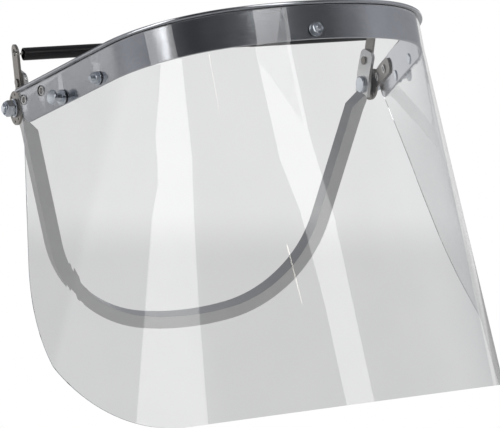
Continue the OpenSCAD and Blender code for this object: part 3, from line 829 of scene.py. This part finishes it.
def tension_spring():
    """A close-wound coil through the sleeve, with a hook at each end."""
    mean_r = COIL_R - WIRE_R
    per_turn = 14
    length = COIL_HALF - 1
    turns = round(2 * length / (2 * WIRE_R * COIL_GAP))
    steps = turns * per_turn
    coil = []
    for k in range(steps + 1):
        a = 2 * math.pi * k / per_turn
        coil.append(Vector((length * (2 * k / steps - 1), mean_r * math.sin(a), mean_r * math.cos(a))))
    hook = curve_through([coil[-1]] + hook_points(), 6)[1:]
    other = [Vector((-p.x, p.y, p.z)) for p in reversed(hook)]
    verts, faces = tube(other + coil + hook, WIRE_R, 8)
    obj = piece("coil_spring", verts, faces, MATERIALS["spring_wire"], "bracket", spring_place())
    stand_for(obj, "spring_wire", "tension_spring")


def spring_sleeve():
    rings = rounded([
        (-SLEEVE_HALF, SLEEVE_BORE, 0.25), (-SLEEVE_HALF, SLEEVE_R, 0.25),
        (SLEEVE_HALF, SLEEVE_R, 0.25), (SLEEVE_HALF, SLEEVE_BORE, 0.25)
    ])
    turned("vinyl_sleeve", rings, 48, True, spring_place(), "black_sleeve", "bracket", "spring_sleeve")


# ---- plates and levers, kept from the frame ----

def finish_node(name, slot, bevel):
    """Gives a frame part its material, soft edges and smooth bends."""
    obj = NODES[name]
    obj.data.materials.clear()
    obj.data.materials.append(MATERIALS[slot])
    weld = obj.modifiers.new("weld", "WELD")
    weld.merge_threshold = WELD * MM
    edges = obj.modifiers.new("edges", "BEVEL")
    edges.width = bevel * MM
    edges.segments = 2
    edges.limit_method = "ANGLE"
    edges.angle_limit = math.radians(SHARP)
    edges.harden_normals = False
    obj.data.polygons.foreach_set("use_smooth", [True] * len(obj.data.polygons))
    weighted = obj.modifiers.new("normals", "WEIGHTED_NORMAL")
    weighted.keep_sharp = True


def kept_nodes():
    finish_node("brim_bow", "bow_metal", 0.25)
    for side in SIDES:
        finish_node(f"{side}_lever", "lever_steel", 0.2)
        finish_node(f"{side}_lever_rivet", "lever_steel", 0.25)
        finish_node(f"{side}_friction_washer", "friction_fibre", 0.1)
        finish_node(f"{side}_hinge_plate", "plate_steel", 0.15)


# ---- studio ----

# How bright the room is in reflections, by the angle round from straight in front
ROOM = [
    (-180, 0.28), (-131, 0.20), (-110, 0.40), (-90, 0.33), (-66, 0.10), (-50, 0.055), (-28, 0.08),
    (-5, 0.12), (20, 0.12), (38, 0.09), (50, 0.20), (64, 0.42), (90, 0.38), (130, 0.33), (180, 0.28)
]
ROOM_TINT = (0.96, 0.98, 1.04)
WARM = (1.0, 0.94, 0.82)

# The floor in reflections, near and far, and the floor and room as seen through the sheet
FLOOR_GREY = 0.42
FLOOR_BRIGHT = 0.80
FLOOR_THROUGH = 0.674
BACK_THROUGH = 0.826
FLOOR_DROP = 0.03
FLOOR_HALF = 6.0
# The floor changes from near to far along this level direction, between these distances
FLOOR_DEPTH = (0.43, 0.90, 0)
CHANGE_FROM = 0.30
CHANGE_TO = 0.50

# Panels stand in two upright planes, at the object's right and in front of it
SIDE_X = -1.0
FRONT_Y = -1.3
PANEL_LIGHT = 2.2
# Light that has passed more faces of the sheet than this comes back from the band, behind the sheet
BAND_PASSES = 3.5


def emission(tree, strength, tint=(1, 1, 1)):
    node = tree.nodes.new("ShaderNodeEmission")
    node.inputs["Strength"].default_value = strength
    node.inputs["Color"].default_value = (*tint, 1)
    return node.outputs["Emission"]


def math_with(tree, operation, value, number):
    """The outcome of one math operation on a value and a number."""
    node = tree.nodes.new("ShaderNodeMath")
    node.operation = operation
    node.inputs[1].default_value = number
    tree.links.new(value, node.inputs[0])
    return node.outputs["Value"]


def mix_shaders(tree, factor, low, high):
    node = tree.nodes.new("ShaderNodeMixShader")
    tree.links.new(factor, node.inputs["Fac"])
    tree.links.new(low, node.inputs[1])
    tree.links.new(high, node.inputs[2])
    return node.outputs["Shader"]


def three_ways(tree, direct, through, reflected):
    """One shader where the camera sees it, one where it sees it through a clear part, one in reflections."""
    path = tree.nodes.new("ShaderNodeLightPath")
    minus = tree.nodes.new("ShaderNodeMath")
    minus.operation = "SUBTRACT"
    tree.links.new(path.outputs["Ray Depth"], minus.inputs[0])
    tree.links.new(path.outputs["Transmission Depth"], minus.inputs[1])
    straight = math_with(tree, "LESS_THAN", minus.outputs["Value"], 0.5)
    clear = math_with(tree, "GREATER_THAN", path.outputs["Transmission Depth"], 0.5)
    return mix_shaders(tree, straight, reflected, mix_shaders(tree, clear, direct, through))


def room():
    """White to the camera; in reflections it is grey, and dark in front, where the camera is."""
    world = bpy.data.worlds.new("studio")
    bpy.context.scene.world = world
    world.use_nodes = True
    tree = world.node_tree
    tree.nodes.clear()
    where = tree.nodes.new("ShaderNodeTexCoord")
    split = tree.nodes.new("ShaderNodeSeparateXYZ")
    tree.links.new(where.outputs["Generated"], split.inputs["Vector"])
    azimuth = tree.nodes.new("ShaderNodeMath")
    azimuth.operation = "ARCTAN2"
    tree.links.new(split.outputs["X"], azimuth.inputs[0])
    tree.links.new(math_with(tree, "MULTIPLY", split.outputs["Y"], -1), azimuth.inputs[1])
    share = tree.nodes.new("ShaderNodeMapRange")
    share.inputs["From Min"].default_value = -math.pi
    share.inputs["From Max"].default_value = math.pi
    tree.links.new(azimuth.outputs["Value"], share.inputs["Value"])
    ramp = tree.nodes.new("ShaderNodeValToRGB")
    ramp.color_ramp.interpolation = "EASE"
    while len(ramp.color_ramp.elements) < len(ROOM):
        ramp.color_ramp.elements.new(0.5)
    for element, (angle, level) in zip(ramp.color_ramp.elements, ROOM):
        element.position = (angle + 180) / 360
        element.color = (*(level * tone for tone in ROOM_TINT), 1)
    tree.links.new(share.outputs["Result"], ramp.inputs["Fac"])
    surround = emission(tree, 1.0)
    tree.links.new(ramp.outputs["Color"], surround.node.inputs["Color"])
    shader = three_ways(tree, emission(tree, 1.0), emission(tree, BACK_THROUGH), surround)
    out = tree.nodes.new("ShaderNodeOutputWorld")
    tree.links.new(shader, out.inputs["Surface"])


def studio_mesh(name, corners, material):
    mesh = bpy.data.meshes.new(name)
    mesh.from_pydata(corners, [], [tuple(range(len(corners)))])
    mesh.materials.append(material)
    obj = bpy.data.objects.new(name, mesh)
    bpy.context.scene.collection.objects.link(obj)
    return obj


def floor_glow(tree, depth, near, far):
    """Emission that goes from near to far a little way behind the object."""
    level = tree.nodes.new("ShaderNodeMapRange")
    level.interpolation_type = "SMOOTHSTEP"
    level.inputs["From Min"].default_value = CHANGE_FROM
    level.inputs["From Max"].default_value = CHANGE_TO
    level.inputs["To Min"].default_value = near
    level.inputs["To Max"].default_value = far
    tree.links.new(depth, level.inputs["Value"])
    glow = emission(tree, 1.0)
    tree.links.new(level.outputs["Result"], glow.node.inputs["Strength"])
    return glow


def floor():
    """A plain pale floor just below the object, greyer near it than far behind it in reflections."""
    low = CAD_BOX[0].z - FLOOR_DROP
    half = FLOOR_HALF
    material = bpy.data.materials.new("floor")
    material.use_nodes = True
    tree = material.node_tree
    tree.nodes.clear()
    where = tree.nodes.new("ShaderNodeTexCoord")
    depth = tree.nodes.new("ShaderNodeVectorMath")
    depth.operation = "DOT_PRODUCT"
    depth.inputs[1].default_value = FLOOR_DEPTH
    tree.links.new(where.outputs["Object"], depth.inputs[0])
    through = floor_glow(tree, depth.outputs["Value"], FLOOR_THROUGH, BACK_THROUGH)
    reflected = floor_glow(tree, depth.outputs["Value"], FLOOR_GREY, FLOOR_BRIGHT)
    shader = three_ways(tree, emission(tree, 1.0), through, reflected)
    out = tree.nodes.new("ShaderNodeOutputMaterial")
    tree.links.new(shader, out.inputs["Surface"])
    studio_mesh("floor", [(-half, -half, low), (half, -half, low), (half, half, low), (-half, half, low)],
                material)


def light_panel(name, corners, strength, tint=(1, 1, 1), for_band=False):
    """A flat soft box, seen only in reflections: in the band's, behind the sheet, or in all the others."""
    material = bpy.data.materials.new(name)
    material.use_nodes = True
    tree = material.node_tree
    tree.nodes.clear()
    glow = emission(tree, strength, tint)
    nothing = tree.nodes.new("ShaderNodeBsdfTransparent").outputs["BSDF"]
    path = tree.nodes.new("ShaderNodeLightPath")
    test = "GREATER_THAN" if for_band else "LESS_THAN"
    passes = math_with(tree, test, path.outputs["Transmission Depth"], BAND_PASSES)
    lit = mix_shaders(tree, passes, nothing, glow)
    out = tree.nodes.new("ShaderNodeOutputMaterial")
    tree.links.new(three_ways(tree, nothing, nothing, lit), out.inputs["Surface"])
    panel = studio_mesh(name, corners, material)
    panel.visible_camera = False
    panel.visible_shadow = False


def side_panel(name, outline, **kind):
    """A panel at the object's right, its outline in (y, z)."""
    light_panel(name, [(SIDE_X, y, z) for y, z in outline], PANEL_LIGHT, **kind)


def front_panel(name, outline, strength=PANEL_LIGHT, **kind):
    """A panel in front of the object, its outline in (x, z)."""
    light_panel(name, [(x, FRONT_Y, z) for x, z in outline], strength, **kind)


def lights():
    side_panel("side_panel", [
        (-0.55, 0.66), (-0.49, 0.50), (-0.39, 0.365), (-0.285, 0.21), (-0.19, 0.04), (-0.15, -0.05),
        (-0.01, -0.05), (0.035, 0.14), (0.04, 0.18), (0.0, 0.24), (-0.12, 0.342), (-0.22, 0.44),
        (-0.24, 0.70), (-0.50, 0.80)
    ])
    front_panel("front_panel", [
        (-0.04, 1.50), (0.42, 1.50), (0.43, 1.00), (0.515, 0.88), (0.505, 0.60), (0.24, 0.60),
        (0.22, 0.75), (0.16, 0.88), (0.05, 0.96), (0.0, 1.12)
    ])
    side_panel("band_side_panel", [(-0.46, 0.30), (-0.22, 0.30), (-0.22, 0.75), (-0.46, 0.75)],
               for_band=True)
    front_panel("band_front_panel", [(-0.02, 0.85), (0.38, 0.85), (0.38, 1.20), (-0.02, 1.20)],
                for_band=True)
    front_panel("slit", [(-1.035, 1.30), (-1.01, 1.30), (-0.976, 1.17), (-0.985, 1.17)], 3.0, tint=WARM)
    front_panel("glint", [(-0.037, 0.84), (-0.025, 0.84), (0.014, 0.755), (0.008, 0.755)], 5.0, tint=WARM)


CAMERA_AT = Vector((-0.5156, -1.1353, 0.1961))
CAMERA_ROUND = math.radians(-25.73)
CAMERA_UP = math.radians(11.90)
CAMERA_ROLL = math.radians(0.36)
CAMERA_LENS = 164.4
CAMERA_SENSOR = 36


def camera():
    """The camera, at the wearer's right and a little above the shield, with all of it in view."""
    flat = math.cos(CAMERA_UP)
    back = Vector((math.sin(CAMERA_ROUND) * flat, -math.cos(CAMERA_ROUND) * flat, math.sin(CAMERA_UP)))
    level = Vector((0, 0, 1)).cross(back).normalized()
    up = back.cross(level)
    right = math.cos(CAMERA_ROLL) * level + math.sin(CAMERA_ROLL) * up
    up = back.cross(right)
    data = bpy.data.cameras.new("camera")
    data.sensor_width = CAMERA_SENSOR
    data.lens = CAMERA_LENS
    obj = bpy.data.objects.new("camera", data)
    turn = Matrix((right, up, back)).transposed().to_4x4()
    obj.matrix_world = Matrix.Translation(CAMERA_AT) @ turn
    bpy.context.scene.collection.objects.link(obj)
    bpy.context.scene.camera = obj


visor_sheet()
carrier_band()
hinge_rivets()
studs()
visor_screws()
pivots()
tension_spring()
spring_sleeve()
kept_nodes()
room()
floor()
lights()
camera()
bpy.context.scene.view_settings.view_transform = "Standard"
